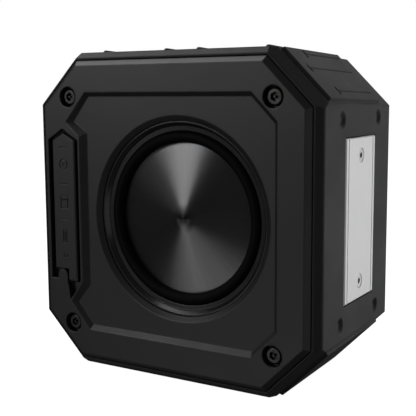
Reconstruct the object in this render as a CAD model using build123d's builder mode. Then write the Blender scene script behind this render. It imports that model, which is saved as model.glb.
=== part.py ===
from build123d import *
from math import cos, sin, tan, radians, sqrt
import os

os.makedirs("parts", exist_ok=True)

# A rugged cube-shaped speaker.  X runs to the right, Y to the back and Z up.
# The origin is under the middle of the body, on the surface that it stands on.

# ---- driving dimensions, in millimetres ----
body_size = 110.0          # width and height of the octagonal body at its front
corner_cut = 17.0          # leg of each cut corner
sleeve_depth = 61.0        # rubber sleeve, front to back
draft = 1.5                # degrees that the sleeve narrows towards the back
top_draft = 2.6            # its top slopes more
top_corner_draft = 2.2
foot_height = 1.0          # base rails below the body
bezel_proud = 1.75         # how far each bezel stands out of the sleeve
bezel_inset = 3.0          # front bezel's edge, in from the sleeve's edge
bezel_thickness = 4.25
rear_inset = 5.5           # rear bezel's edge, in from the sleeve's front size
recess_inset = 13.6
recess_depth = 1.5
gasket_thickness = 0.8
chassis_inset = 4.1
chassis_wall = 2.5
fit = 0.3                  # gap round pieces that move or drop in
slip = 0.05                # gap round shanks and pins
snug = 0.1                 # gap round pieces let into a pocket
screw_spot = 39.8          # bezel screws, from the middle both ways
screw_head_radius = 2.75
screw_shank_radius = 1.45
screw_length = 11.0
screw_pocket_radius = 3.5
screw_pocket_depth = 3.0

mid = foot_height + body_size / 2
front_y = -sleeve_depth / 2
rear_y = sleeve_depth / 2
bezel_face_y = front_y - bezel_proud
bezel_back_y = bezel_face_y + bezel_thickness
chassis_y = -bezel_back_y - gasket_thickness    # half length of the chassis
rear_face_y = -bezel_face_y

# passive radiator, off centre to leave room for the port cover
radiator_x = 4.5
opening_radius = 32.3
countersink_radius = 34.0
countersink_depth = 1.2
disc_radius = 25.7
disc_rim_y = -25.7
disc_rise = 2.2
disc_gauge = 0.6
surround_outer = 30.0

# driver at the back
driver_bolt_radius = 30.8
driver_flange_radius = 33.0
grille_radius = 33.2
grille_opening = 31.5

# port cover on the bezel's left
cover_x = -42.7
cover_width = 9.9
cover_top = 27.4           # point of the cover, above the middle
cover_shoulder = 24.8
hinge_z = -24.4            # hinge axis, from the middle
hinge_y = -31.1
knuckle_radius = 0.85
neck_left = -41.4
pocket_depth = 2.2
board_face_x = -39.3       # side of the main board that the sockets sit on
board_gauge = 1.6

# side plates
plate_width = 26.0
plate_height = 53.4
plate_gauge = 1.5
plate_gap = 0.2
plate_shift = 1.5          # plate's middle, behind the body's middle
plate_screw_spot = 20.7

# keys along the top
key_pitch = 12.8
key_width = 8.4
key_length = 16.4
key_top = 110.6
key_travel = 0.5
key_names = ["power_key", "volume_down_key", "play_key", "volume_up_key", "pairing_key"]


# ---- planes and outlines ----
def octagon(inset):
    """Corners of the body's octagon, moved in by inset."""
    half = body_size / 2 - inset
    cut = corner_cut - inset * (2 - sqrt(2))
    near = half - cut
    return [(near, half), (half, near), (half, -near), (near, -half),
            (-near, -half), (-half, -near), (-half, near), (-near, half)]


def facing_front(y):
    """Upright plane at y, seen from the front, centred on the body."""
    return Plane(origin=(0, y, mid), x_dir=(1, 0, 0), z_dir=(0, -1, 0))


def facing_back(y):
    """Upright plane at y, seen from the back, centred on the body."""
    return Plane(origin=(0, y, mid), x_dir=(-1, 0, 0), z_dir=(0, 1, 0))


def wall_reach(angle):
    """From the middle out to a wall, or to a corner facet, at the front."""
    return body_size / 2 if angle % 90 == 0 else (body_size - corner_cut) / sqrt(2)


def wall_lean(angle):
    """How far a wall leans in towards the back, in degrees."""
    return {90: top_draft, 45: top_corner_draft, 135: top_corner_draft}.get(angle, draft)


def wall_plane(angle, lift=0.0):
    """Plane on a drafted outer wall: its x runs to the back, its z runs out."""
    lean = radians(wall_lean(angle))
    turn = radians(angle)
    reach = wall_reach(angle) - tan(lean) * sleeve_depth / 2
    outward = Vector(cos(turn) * cos(lean), sin(lean), sin(turn) * cos(lean))
    backward = Vector(-cos(turn) * sin(lean), cos(lean), -sin(turn) * sin(lean))
    start = Vector(cos(turn) * reach, 0, mid + sin(turn) * reach)
    return Plane(origin=start + outward * lift, x_dir=backward, z_dir=outward)


def axis_plane(x):
    """Plane for turned outlines round an axis along Y: its x is the radius."""
    return Plane(origin=(x, 0, mid), x_dir=(1, 0, 0), z_dir=(0, 0, 1))


def keep(piece, name):
    """Name a finished piece and write it out."""
    piece.part.label = name
    export_step(piece.part, f"parts/{name}.step")


def turned(outline, x):
    """A turned piece: outline points are (radius, y)."""
    with BuildPart() as piece:
        with BuildSketch(axis_plane(x)):
            with BuildLine():
                Polyline(*outline, close=True)
            make_face()
        revolve(axis=Axis((x, 0, mid), (0, 1, 0)))
    return piece


def around(radius, count, start=0.0, x=0.0):
    """Points on a circle about the axis at x, on an upright plane."""
    turns = [radians(start + 360 * i / count) for i in range(count)]
    return [(x + radius * cos(t), radius * sin(t)) for t in turns]


key_spots = [key_pitch * (i - 2) for i in range(5)]
screw_spots = [(sx * screw_spot, sz * screw_spot) for sx in (-1, 1) for sz in (-1, 1)]
light_y = -15.0
light_radius = 1.1
mic_spot = (key_pitch, -15.0)
mic_radius = 2.0
mic_hole_radius = 0.6
key_window_rounding = 1.8

# ---- body sleeve: one rubber moulding with its pads, ribs and rails ----
edge_setback = 2.1
flat_bevel_depth = 2.4
corner_bevel_depth = 5.5
edge_rounding = 2.5
rear_rounding = 2.0
pad_length = 44.0
pad_shift = -2.5
pad_height = 1.0
pad_width = 23.0
pad_taper = 20.0
groove_width = 0.5
groove_depth = 0.35
notch_size = (1.1, 3.0)
notch_depth = 0.9
bury = 0.5                 # how deep raised details start below a wall
rib_spots = [(key_pitch * k / 2, 1.2 if abs(k) != 3 else 0.5) for k in (-5, -3, -1, 1, 3, 5)]
rib_length = 40.0
rib_shift = -2.0
rib_width = 3.6
rib_taper = 35.0
rail_width = 6.0
dimple_grid = (32.0, 65.0)
dimple_radius = 2.7
dimple_depth = 0.9
dimple_taper = 60.0
plate_bolt_radius = 1.2
# grooves along each pad: place across the pad, place of the front end
pad_grooves = [(8.7, -12.0), (2.1, -19.0), (-7.5, -12.5)]
groove_back = 16.0

with BuildPart() as body_sleeve:
    with Locations((0, 0, mid)):
        Box(body_size, sleeve_depth, body_size)
    for step in range(8):
        split(bisect_by=wall_plane(45 * step), keep=Keep.BOTTOM)
    fillet(body_sleeve.faces().sort_by(Axis.Y)[-1].edges(), radius=rear_rounding)
    for step in range(8):
        turn = radians(45 * step)
        reach = wall_reach(45 * step)
        depth = corner_bevel_depth if step % 2 else flat_bevel_depth
        slope = Vector(depth * cos(turn), -edge_setback, depth * sin(turn)).normalized()
        start = Vector(cos(turn), 0, sin(turn)) * (reach - edge_setback)
        split(bisect_by=Plane(origin=start + Vector(0, front_y, mid), z_dir=slope), keep=Keep.BOTTOM)
    # rounded front edges of the four flat walls
    soft_edges = (
        body_sleeve.edges()
        .filter_by_position(Axis.Y, front_y + 1.5, front_y + 3.5)
        .filter_by(lambda edge: edge.length > 60)
    )
    fillet(soft_edges, radius=edge_rounding)
    for angle in (45, 135, 225, 315):
        flip = 1 if angle in (45, 225) else -1
        with BuildSketch(wall_plane(angle, -bury)):
            with Locations((pad_shift, 0)):
                Rectangle(pad_length, pad_width)
        extrude(amount=pad_height + bury, taper=pad_taper)
        with BuildSketch(wall_plane(angle, pad_height)):
            for across, along in pad_grooves:
                with Locations(((along + groove_back) / 2, flip * across)):
                    Rectangle(groove_back - along, groove_width)
        extrude(amount=-groove_depth, mode=Mode.SUBTRACT)
        with BuildSketch(wall_plane(angle, pad_height)):
            for across, along in pad_grooves:
                with Locations((along, flip * across)):
                    Rectangle(*notch_size)
        extrude(amount=-notch_depth, mode=Mode.SUBTRACT)
    for spot, height in rib_spots:
        with BuildSketch(wall_plane(90, -bury)):
            with Locations((rib_shift, -spot)):
                SlotOverall(rib_length, rib_width)
        extrude(amount=height + bury, taper=rib_taper)
    with BuildSketch(Plane.XY):
        for side in (-1, 1):
            with Locations((side * rib_spots[-1][0], pad_shift)):
                SlotOverall(pad_length, rail_width, rotation=90)
    extrude(amount=foot_height + 2.0)
    # bore for the chassis, then the seats of the two bezels
    with BuildSketch(facing_back(bezel_back_y)):
        Polygon(*octagon(chassis_inset - snug), align=None)
    extrude(amount=-2 * bezel_back_y, mode=Mode.SUBTRACT)
    with BuildSketch(facing_back(front_y - 1)):
        Polygon(*octagon(bezel_inset - fit), align=None)
    extrude(amount=bezel_back_y - front_y + 1, mode=Mode.SUBTRACT)
    with BuildSketch(facing_front(rear_y + 1)):
        Polygon(*octagon(rear_inset - fit), align=None)
    extrude(amount=rear_y + bezel_back_y + 1, mode=Mode.SUBTRACT)
    # side plate pockets, their screw holes and the dimples round them
    for angle in (0, 180):
        with BuildSketch(wall_plane(angle)):
            with Locations((plate_shift, 0)):
                Rectangle(plate_width + 2 * plate_gap, plate_height + 2 * plate_gap)
        extrude(amount=-(plate_gauge - snug), mode=Mode.SUBTRACT)
        with BuildSketch(wall_plane(angle)):
            with Locations((plate_shift, plate_screw_spot), (plate_shift, -plate_screw_spot)):
                Circle(plate_bolt_radius + snug)
        extrude(amount=-8, mode=Mode.SUBTRACT)
        with BuildSketch(wall_plane(angle)):
            with GridLocations(*dimple_grid, 2, 2):
                with Locations((plate_shift, 0)):
                    Circle(dimple_radius)
        extrude(amount=-dimple_depth, taper=dimple_taper, mode=Mode.SUBTRACT)
    # windows for the keys, the status light and the microphone
    with BuildSketch(Plane.XY.offset(mid)):
        with Locations(*[(x, 0) for x in key_spots]):
            RectangleRounded(key_width + 2 * fit, key_length + 2 * fit, key_window_rounding)
        with Locations((0, light_y)):
            Circle(light_radius + slip)
        with Locations(mic_spot):
            Circle(mic_hole_radius)
    extrude(amount=body_size, mode=Mode.SUBTRACT)
keep(body_sleeve, "body_sleeve")

# ---- chassis: octagonal tube with screw bosses and the driver's baffle ----
boss_radius = 4.0
baffle_y = 23.2
baffle_gauge = 2.0
driver_hole = 28.5
board_post_radius = 2.4
key_board_top = mid + 43.0
key_board_posts = [(-32.0, 0), (32.0, 0)]
stem_radius = 1.8
chassis_inner = body_size / 2 - chassis_inset - chassis_wall
driver_bolts = around(driver_bolt_radius, 4, 45)
main_board_bolts = [(y, z) for y in (-18.0, 16.0) for z in (-33.0, 33.0)]

with BuildPart() as chassis:
    with BuildSketch(facing_front(chassis_y)):
        Polygon(*octagon(chassis_inset), align=None)
        Polygon(*octagon(chassis_inset + chassis_wall), align=None, mode=Mode.SUBTRACT)
        with Locations(*screw_spots):
            Circle(boss_radius)
        Polygon(*octagon(chassis_inset), align=None, mode=Mode.INTERSECT)
    extrude(amount=2 * chassis_y)
    with BuildSketch(facing_front(baffle_y + baffle_gauge)):
        Polygon(*octagon(chassis_inset + 1), align=None)
        Circle(driver_hole, mode=Mode.SUBTRACT)
    extrude(amount=baffle_gauge)
    # posts for the key board, hanging from the top wall
    with BuildSketch(Plane.XY.offset(key_board_top)):
        with Locations(*key_board_posts):
            Circle(board_post_radius)
    extrude(amount=chassis_inner + mid + 0.5 - key_board_top)
    # posts for the main board, standing in from the left wall
    with BuildSketch(Plane.YZ.offset(-chassis_inner - 0.5)):
        with Locations(*[(y, z + mid) for y, z in main_board_bolts]):
            Circle(board_post_radius)
    extrude(amount=chassis_inner + 0.5 + board_face_x)
    # bosses behind the side plate screws
    for side in (-1, 1):
        for z in (-plate_screw_spot, plate_screw_spot):
            with BuildSketch(Plane.YZ.offset(side * (chassis_inner + 0.5))):
                with Locations((plate_shift, mid + z)):
                    Circle(3.0)
            extrude(amount=-side * 3.0)
    # screw holes
    with BuildSketch(facing_front(chassis_y + 1)):
        with Locations(*screw_spots):
            Circle(screw_shank_radius + slip)
    extrude(amount=2 * chassis_y + 2, mode=Mode.SUBTRACT)
    for angle in (0, 180):
        with BuildSketch(wall_plane(angle)):
            with Locations((plate_shift, plate_screw_spot), (plate_shift, -plate_screw_spot)):
                Circle(plate_bolt_radius + slip)
        extrude(amount=-12, mode=Mode.SUBTRACT)
    with BuildSketch(Plane.YZ.offset(board_face_x)):
        with Locations(*[(y, z + mid) for y, z in main_board_bolts]):
            Circle(0.95 + slip)
    extrude(amount=-6.0, mode=Mode.SUBTRACT)
    with BuildSketch(Plane.XY.offset(key_board_top)):
        with Locations(*key_board_posts):
            Circle(0.95 + slip)
    extrude(amount=5.0, mode=Mode.SUBTRACT)
    with BuildSketch(facing_front(baffle_y + baffle_gauge + 1)):
        with Locations(*driver_bolts):
            Circle(1.4 + slip)
    extrude(amount=baffle_gauge + 2, mode=Mode.SUBTRACT)
    # holes for key stems, light pipe and microphone
    with BuildSketch(Plane.XY.offset(mid + chassis_inner - 1)):
        with Locations(*[(x, 0) for x in key_spots]):
            Circle(stem_radius + fit)
        with Locations((0, light_y)):
            Circle(light_radius + slip)
        with Locations(mic_spot):
            Circle(mic_radius + slip)
    extrude(amount=8, mode=Mode.SUBTRACT)
keep(chassis, "chassis")

# ---- front bezel ----
bezel_bevel = 1.7
pocket_floor_y = bezel_face_y + pocket_depth
window_width = 7.6
window_bottom = -20.0
window_top = 23.0
recess_floor_y = bezel_face_y + recess_depth
slope = recess_depth
recess_half = body_size / 2 - recess_inset
recess_near = recess_half - (corner_cut - recess_inset * (2 - sqrt(2)))
# outline of the recess; its left side steps round the port pocket
recess_outline = [
    (recess_near, recess_half), (recess_half, recess_near), (recess_half, -recess_near),
    (recess_near, -recess_half), (-recess_near, -recess_half), (-40.6, -32.0),
    (-35.3, -24.8), (-35.3, 26.3), (-41.2, 31.2), (-recess_near, recess_half),
]
recess_floor_outline = [
    (recess_near - 0.6, recess_half - slope), (recess_half - slope, recess_near - 0.6),
    (recess_half - slope, -recess_near + 0.6), (recess_near - 0.6, -recess_half + slope),
    (-recess_near + 0.6, -recess_half + slope), (-38.2, -32.3), (-32.7, -25.7), (-32.7, 27.5),
    (-38.4, 31.4), (-recess_near + 0.6, recess_half - slope),
]
pocket_left = -49.2
lug_bridge_z = -25.6
lug_bridge_height = 2.4
window_rounding = 1.0
pocket_right = -36.0
pocket_outline = [
    (cover_x, 28.9), (pocket_right, 25.0), (pocket_right, -25.6), (-40.9, -31.6),
    (-41.7, -26.2), (pocket_left, -26.2), (pocket_left, 25.0),
]
lug_x = -44.1
lug_half = 2.1
lug_top = -23.2
lug_bottom = -31.0

with BuildPart() as front_bezel:
    with BuildSketch(facing_front(bezel_back_y)):
        Polygon(*octagon(bezel_inset), align=None)
    extrude(amount=bezel_thickness)
    chamfer(front_bezel.faces().sort_by(Axis.Y)[0].edges(), length=bezel_bevel)
    with BuildSketch(facing_front(bezel_face_y)):
        Polygon(*recess_outline, align=None)
    with BuildSketch(facing_front(recess_floor_y)):
        Polygon(*recess_floor_outline, align=None)
    loft(ruled=True, mode=Mode.SUBTRACT)
    with BuildSketch(facing_front(bezel_face_y)):
        Polygon(*pocket_outline, align=None)
    extrude(amount=-pocket_depth, mode=Mode.SUBTRACT)
    # retaining lug at the pocket's foot, rounded at its top
    with BuildSketch(facing_front(pocket_floor_y)):
        with Locations((lug_x, (lug_top + lug_bottom) / 2)):
            SlotOverall(lug_top - lug_bottom + 2 * lug_half, 2 * lug_half, rotation=90)
        with Locations(((pocket_left + lug_x) / 2, lug_bridge_z)):
            Rectangle(lug_x - pocket_left, lug_bridge_height)
    extrude(amount=pocket_depth)
    # window to the ports
    with BuildSketch(facing_front(pocket_floor_y - 1)):
        with Locations((cover_x, (window_top + window_bottom) / 2)):
            RectangleRounded(window_width, window_top - window_bottom, window_rounding)
    extrude(amount=-(bezel_thickness), mode=Mode.SUBTRACT)
    # round opening with its countersink and a fine groove round it
    with BuildSketch(axis_plane(radiator_x)):
        with BuildLine():
            Polyline(
                (0, recess_floor_y - 1), (countersink_radius, recess_floor_y - 1),
                (countersink_radius, recess_floor_y), (opening_radius, recess_floor_y + countersink_depth),
                (opening_radius, bezel_back_y + 1), (0, bezel_back_y + 1), close=True,
            )
        make_face()
    revolve(axis=Axis((radiator_x, 0, mid), (0, 1, 0)), mode=Mode.SUBTRACT)
    # screw pockets
    with BuildSketch(facing_front(bezel_face_y - 1)):
        with Locations(*screw_spots):
            Circle(screw_pocket_radius)
    extrude(amount=-(screw_pocket_depth + 1), mode=Mode.SUBTRACT)
    with BuildSketch(facing_front(bezel_face_y)):
        with Locations(*screw_spots):
            Circle(screw_shank_radius + slip)
    extrude(amount=-bezel_thickness, mode=Mode.SUBTRACT)
keep(front_bezel, "front_bezel")

# ---- rear bezel: the same frame round the grille ----
grille_gauge = 1.0
grille_seat = 1.5
with BuildPart() as rear_bezel:
    with BuildSketch(facing_back(-bezel_back_y)):
        Polygon(*octagon(rear_inset), align=None)
    extrude(amount=bezel_thickness)
    chamfer(rear_bezel.faces().sort_by(Axis.Y)[-1].edges(), length=bezel_bevel)
    with BuildSketch(facing_back(rear_face_y)):
        Polygon(*octagon(recess_inset), align=None)
    with BuildSketch(facing_back(rear_face_y - recess_depth)):
        Polygon(*octagon(recess_inset + slope), align=None)
    loft(ruled=True, mode=Mode.SUBTRACT)
    with BuildSketch(facing_back(-bezel_back_y)):
        Circle(grille_radius + snug)
    extrude(amount=grille_seat, mode=Mode.SUBTRACT)
    with BuildSketch(facing_back(-bezel_back_y)):
        Circle(grille_opening)
    extrude(amount=bezel_thickness, mode=Mode.SUBTRACT)
    with BuildSketch(facing_back(rear_face_y + 1)):
        with Locations(*screw_spots):
            Circle(screw_pocket_radius)
    extrude(amount=-(screw_pocket_depth + 1), mode=Mode.SUBTRACT)
    with BuildSketch(facing_back(rear_face_y)):
        with Locations(*screw_spots):
            Circle(screw_shank_radius + slip)
    extrude(amount=-bezel_thickness, mode=Mode.SUBTRACT)
keep(rear_bezel, "rear_bezel")

# ---- gaskets between the bezels and the chassis ----
gasket_edge = 0.2          # set back from the walls that they seal
for name, start_y in (("front_gasket", bezel_back_y), ("rear_gasket", chassis_y)):
    with BuildPart() as gasket:
        with BuildSketch(facing_front(start_y + gasket_thickness)):
            Polygon(*octagon(chassis_inset + gasket_edge), align=None)
            Polygon(*octagon(chassis_inset + chassis_wall - gasket_edge), align=None, mode=Mode.SUBTRACT)
            with Locations(*screw_spots):
                Circle(boss_radius - 2 * gasket_edge)
            with Locations(*screw_spots):
                Circle(screw_shank_radius + slip, mode=Mode.SUBTRACT)
            Polygon(*octagon(chassis_inset + gasket_edge), align=None, mode=Mode.INTERSECT)
        extrude(amount=gasket_thickness)
    keep(gasket, name)

# ---- bezel screws: round heads with a six-lobed drive and a centre pin ----
def pin_screw(head_plane, spots, head_radius, head_height, shank_radius, length, drive_radius):
    """Machine screws whose heads stand on head_plane, heads outwards."""
    with BuildPart() as screws:
        with BuildSketch(head_plane):
            with Locations(*spots):
                Circle(head_radius)
        extrude(amount=head_height)
        chamfer(screws.faces().sort_by(Axis(head_plane.origin, head_plane.z_dir))[-len(spots):].edges(),
                length=head_radius * 0.18)
        with BuildSketch(head_plane.offset(head_height)):
            with Locations(*spots):
                RegularPolygon(drive_radius, 6)
                with PolarLocations(drive_radius * 0.8, 6, start_angle=30):
                    Circle(drive_radius * 0.28)
                Circle(drive_radius * 0.3, mode=Mode.SUBTRACT)
        extrude(amount=-head_height * 0.6, mode=Mode.SUBTRACT)
        with BuildSketch(head_plane):
            with Locations(*spots):
                Circle(shank_radius)
        extrude(amount=-length)
    return screws


head_height = 2.0
drive_radius = 1.35
keep(pin_screw(facing_front(bezel_face_y + screw_pocket_depth), screw_spots, screw_head_radius,
               head_height, screw_shank_radius, screw_length, drive_radius), "front_bezel_screws")
keep(pin_screw(facing_back(rear_face_y - screw_pocket_depth), screw_spots, screw_head_radius,
               head_height, screw_shank_radius, screw_length, drive_radius), "rear_bezel_screws")

# ---- side plates: brushed aluminium, a groove along each long edge ----
plate_proud = 0.25
plate_screw_head = 2.4
plate_bevel = 0.5
plate_bolt_length = 7.0
plate_drive_radius = 1.0
plate_drive_depth = 1.0
groove_in = 2.2
for name, angle in (("side_plate_right", 0), ("side_plate_left", 180)):
    with BuildPart() as plate:
        with BuildSketch(wall_plane(angle, snug - plate_gauge)):
            with Locations((plate_shift, 0)):
                Rectangle(plate_width, plate_height)
        extrude(amount=plate_gauge - snug + plate_proud)
        outer = plate.faces().sort_by(Axis((0, 0, mid), wall_plane(angle).z_dir))[-1]
        chamfer(outer.edges(), length=plate_bevel)
        with BuildSketch(wall_plane(angle, plate_proud)):
            for edge in (-1, 1):
                with Locations((plate_shift + edge * (plate_width / 2 - groove_in), 0)):
                    Rectangle(groove_width, plate_height + 1)
        extrude(amount=-groove_depth, mode=Mode.SUBTRACT)
        with Locations(wall_plane(angle, plate_proud)):
            with Locations((plate_shift, plate_screw_spot, 0), (plate_shift, -plate_screw_spot, 0)):
                CounterSinkHole(radius=plate_bolt_radius + snug, counter_sink_radius=plate_screw_head + slip,
                                depth=plate_gauge + 1, counter_sink_angle=90)
    keep(plate, name)

with BuildPart() as side_plate_screws:
    for angle in (0, 180):
        for z in (-plate_screw_spot, plate_screw_spot):
            face = wall_plane(angle, plate_proud - snug)
            spot = Plane(origin=face.from_local_coords((plate_shift, z, 0)), x_dir=face.x_dir,
                         z_dir=face.z_dir)
            with BuildSketch(spot):
                Circle(plate_screw_head - snug)
            extrude(amount=-(plate_screw_head - snug - plate_bolt_radius), taper=45)
            with BuildSketch(spot):
                Circle(plate_bolt_radius)
            extrude(amount=-plate_bolt_length)
            with BuildSketch(spot):
                RegularPolygon(plate_drive_radius, 6)
            extrude(amount=-plate_drive_depth, mode=Mode.SUBTRACT)
keep(side_plate_screws, "side_plate_screws")

# ---- port cover: a rubber flap that swings down on a neck at its foot ----
cover_face_y = bezel_face_y + 0.2
cover_back_y = -30.4
rim_width = window_width - 2 * fit
rim_back_y = -29.6
rim_length = 39.0
rim_wall = 1.2
rim_middle_z = 3.0
half_cover = cover_width / 2
cover_foot = -20.9
cover_outline = [
    (cover_x, cover_top), (cover_x + half_cover, cover_shoulder), (cover_x + half_cover, hinge_z),
    (neck_left, hinge_z), (neck_left, cover_foot), (cover_x - half_cover, cover_foot),
    (cover_x - half_cover, cover_shoulder),
]
icon_depth = 0.25
icon_line = 0.4
jack_mark = 1.9
card_mark = (3.4, 4.4)
usb_mark = (1.9, 5.2)
reset_mark = 0.9
divider_length = 3.2
divider_spots = (22.4, 9.6, -3.0)
# places of the port marks, from the middle
jack_z = 16.5
card_z = 3.0
usb_z = -9.0
reset_z = -16.5

with BuildPart() as port_cover:
    with BuildSketch(facing_front(cover_back_y)):
        Polygon(*cover_outline, align=None)
    extrude(amount=cover_back_y - cover_face_y)
    chamfer(port_cover.faces().sort_by(Axis.Y)[0].edges().filter_by(lambda edge: edge.length > 5), length=0.4)
    # knuckle round the hinge axis
    with BuildSketch(Plane.YZ.offset(neck_left)):
        with Locations((hinge_y, mid + hinge_z)):
            Circle(knuckle_radius)
    extrude(amount=cover_x + half_cover - neck_left)
    # hollow plug that presses into the window
    with BuildSketch(facing_front(rim_back_y)):
        with Locations((cover_x, rim_middle_z)):
            RectangleRounded(rim_width, rim_length, 0.8)
            RectangleRounded(rim_width - 2 * rim_wall, rim_length - 2 * rim_wall, 0.4, mode=Mode.SUBTRACT)
    extrude(amount=rim_back_y - cover_back_y)
    # generic marks for line in, card, power and reset
    with BuildSketch(facing_front(cover_face_y)):
        with Locations((cover_x, jack_z)):
            Circle(jack_mark)
            Circle(jack_mark - icon_line, mode=Mode.SUBTRACT)
            Circle(0.5)
        with Locations((cover_x, card_z)):
            Rectangle(*card_mark)
            Rectangle(card_mark[0] - 2 * icon_line, card_mark[1] - 2 * icon_line, mode=Mode.SUBTRACT)
        with GridLocations(0.9, 0, 3, 1):
            with Locations((cover_x, card_z + card_mark[1] / 4)):
                Rectangle(icon_line, 1.0)
        with Locations((cover_x, usb_z)):
            RectangleRounded(*usb_mark, 0.9)
            RectangleRounded(usb_mark[0] - 2 * icon_line, usb_mark[1] - 2 * icon_line, 0.5, mode=Mode.SUBTRACT)
            Rectangle(icon_line, 2.8)
        with Locations((cover_x, reset_z + 0.6)):
            Circle(reset_mark)
            Circle(reset_mark - icon_line, mode=Mode.SUBTRACT)
        with Locations(*[(cover_x, z) for z in divider_spots]):
            Rectangle(divider_length, icon_line)
    extrude(amount=-icon_depth, mode=Mode.SUBTRACT)
keep(port_cover, "port_cover")

# ---- port panel: stiff insert behind the window ----
panel_flange = 1.4
panel_size = (9.6, 47.0)
panel_middle_z = 1.5
panel_cut = 6.0
panel_nose_y = -29.2
usb_height = 7.6
usb_gauge = 2.7
jack_radius = 2.9
jack_bore = 1.8
jack_x = board_face_x - 3.0
card_gauge = 1.4
card_height = 11.6
reset_radius = 0.9
reset_x = board_face_x - 2.0
usb_rounding = 0.7
socket_wall = 0.3
usb_back_y = -22.6
usb_depth = 5.4
usb_tongue = 0.7
jack_back_y = -14.0
jack_collar_y = -26.2
jack_body = (6.0, 7.0)
jack_depth = 14.0
card_back_y = -14.5
card_depth = 13.5

with BuildPart() as port_panel:
    with BuildSketch(facing_front(bezel_back_y + panel_flange)):
        with Locations((cover_x, panel_middle_z)):
            RectangleRounded(*panel_size, 1.5)
    extrude(amount=panel_flange)
    with BuildSketch(facing_front(bezel_back_y)):
        with Locations((cover_x, (window_top + window_bottom) / 2)):
            RectangleRounded(window_width - 2 * snug, window_top - window_bottom - 2 * snug,
                             window_rounding - snug)
    extrude(amount=bezel_back_y - panel_nose_y)
    with BuildSketch(facing_front(panel_nose_y - 1)):
        with Locations((jack_x, jack_z)):
            Circle(jack_radius + snug)
        with Locations((board_face_x - card_gauge / 2, card_z)):
            Rectangle(card_gauge + 2 * snug, card_height + 2 * snug)
        with Locations((board_face_x - usb_gauge / 2, usb_z)):
            RectangleRounded(usb_gauge + 2 * snug, usb_height + 2 * snug, usb_rounding + snug)
        with Locations((reset_x, reset_z)):
            Circle(reset_radius + slip)
    extrude(amount=-panel_cut, mode=Mode.SUBTRACT)
keep(port_panel, "port_panel")

# ---- sockets on the main board's front edge ----
with BuildPart() as usb_socket:
    with BuildSketch(facing_front(usb_back_y)):
        with Locations((board_face_x - usb_gauge / 2, usb_z)):
            RectangleRounded(usb_gauge, usb_height, usb_rounding)
    extrude(amount=usb_back_y - panel_nose_y)
    with BuildSketch(facing_front(panel_nose_y)):
        with Locations((board_face_x - usb_gauge / 2, usb_z)):
            RectangleRounded(usb_gauge - 2 * socket_wall, usb_height - 2 * socket_wall, 0.5)
            Rectangle(usb_tongue, usb_height - 8 * socket_wall, mode=Mode.SUBTRACT)
    extrude(amount=-usb_depth, mode=Mode.SUBTRACT)
keep(usb_socket, "usb_socket")

with BuildPart() as audio_jack:
    with BuildSketch(facing_front(jack_back_y)):
        with Locations((jack_x, jack_z)):
            Rectangle(*jack_body)
    extrude(amount=jack_back_y - jack_collar_y)
    with BuildSketch(facing_front(jack_collar_y)):
        with Locations((jack_x, jack_z)):
            Circle(jack_radius)
    extrude(amount=jack_collar_y - panel_nose_y)
    with BuildSketch(facing_front(panel_nose_y)):
        with Locations((jack_x, jack_z)):
            Circle(jack_bore)
    extrude(amount=-jack_depth, mode=Mode.SUBTRACT)
keep(audio_jack, "audio_jack")

with BuildPart() as card_socket:
    with BuildSketch(facing_front(card_back_y)):
        with Locations((board_face_x - card_gauge / 2, card_z)):
            Rectangle(card_gauge, card_height)
    extrude(amount=card_back_y - panel_nose_y)
    with BuildSketch(facing_front(panel_nose_y)):
        with Locations((board_face_x - card_gauge / 2, card_z)):
            Rectangle(card_gauge - 2 * socket_wall, card_height - 2 * socket_wall)
    extrude(amount=-card_depth, mode=Mode.SUBTRACT)
keep(card_socket, "card_socket")

# reset plunger in the panel, and the switch that it presses
plunger_back_y = -25.2
plunger_flange = (0.6, 0.9)
plunger_sink = 0.3
reset_switch_back_y = -21.5
reset_switch_size = (4.0, 5.0)
reset_switch_depth = 2.0
with BuildPart() as reset_plunger:
    with BuildSketch(facing_front(plunger_back_y)):
        with Locations((reset_x, reset_z)):
            Circle(reset_radius)
    extrude(amount=plunger_back_y - panel_nose_y - plunger_sink)
    with BuildSketch(facing_front(plunger_back_y)):
        with Locations((reset_x, reset_z)):
            Circle(reset_radius + plunger_flange[0])
    extrude(amount=plunger_flange[1])
keep(reset_plunger, "reset_plunger")

with BuildPart() as reset_switch:
    with BuildSketch(facing_front(reset_switch_back_y)):
        with Locations((reset_x, reset_z)):
            Rectangle(*reset_switch_size)
    extrude(amount=reset_switch_depth)
    with BuildSketch(facing_front(reset_switch_back_y - reset_switch_depth)):
        with Locations((reset_x, reset_z)):
            Circle(1.2)
    extrude(amount=0.9)
keep(reset_switch, "reset_switch")

# ---- main board, standing on edge behind the ports, with what it carries ----
board_front_y = -26.2
board_back_y = 20.0
board_half = 35.0
board_hole_radius = 1.1
small_head_radius = 1.9
small_head_height = 1.3
small_shank_radius = 0.95
board_screw_length = 6.5
module_spot = (-6.0, 24.0)
module_size = (20.0, 13.0)
module_gauge = 0.8
shield_spot = (-8.0, 24.0)
shield_size = (14.0, 11.0)
shield_height = 1.6
chip_spot = (9.0, -22.0)
chip_size = 7.0
chip_height = 1.0
chip_pins = 7
coil_spot = (-6.0, -24.0)
coil_size = 7.0
coil_height = 3.4
capacitor_spots = [(-18.0, -22.0), (14.0, 20.0), (16.0, -12.0)]
capacitor_radius = 2.5
capacitor_height = 4.4
board_inner_x = board_face_x + board_gauge
board_mid_y = (board_front_y + board_back_y) / 2

with BuildPart() as main_board:
    with BuildSketch(Plane.YZ.offset(board_face_x)):
        with Locations((board_mid_y, mid)):
            RectangleRounded(board_back_y - board_front_y, 2 * board_half, 1.5)
        with Locations(*[(y, z + mid) for y, z in main_board_bolts]):
            Circle(board_hole_radius, mode=Mode.SUBTRACT)
    extrude(amount=board_gauge)
keep(main_board, "main_board")

def on_board(spot):
    """Place of a component on the main board's inner face."""
    return (spot[0], mid + spot[1])


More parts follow.
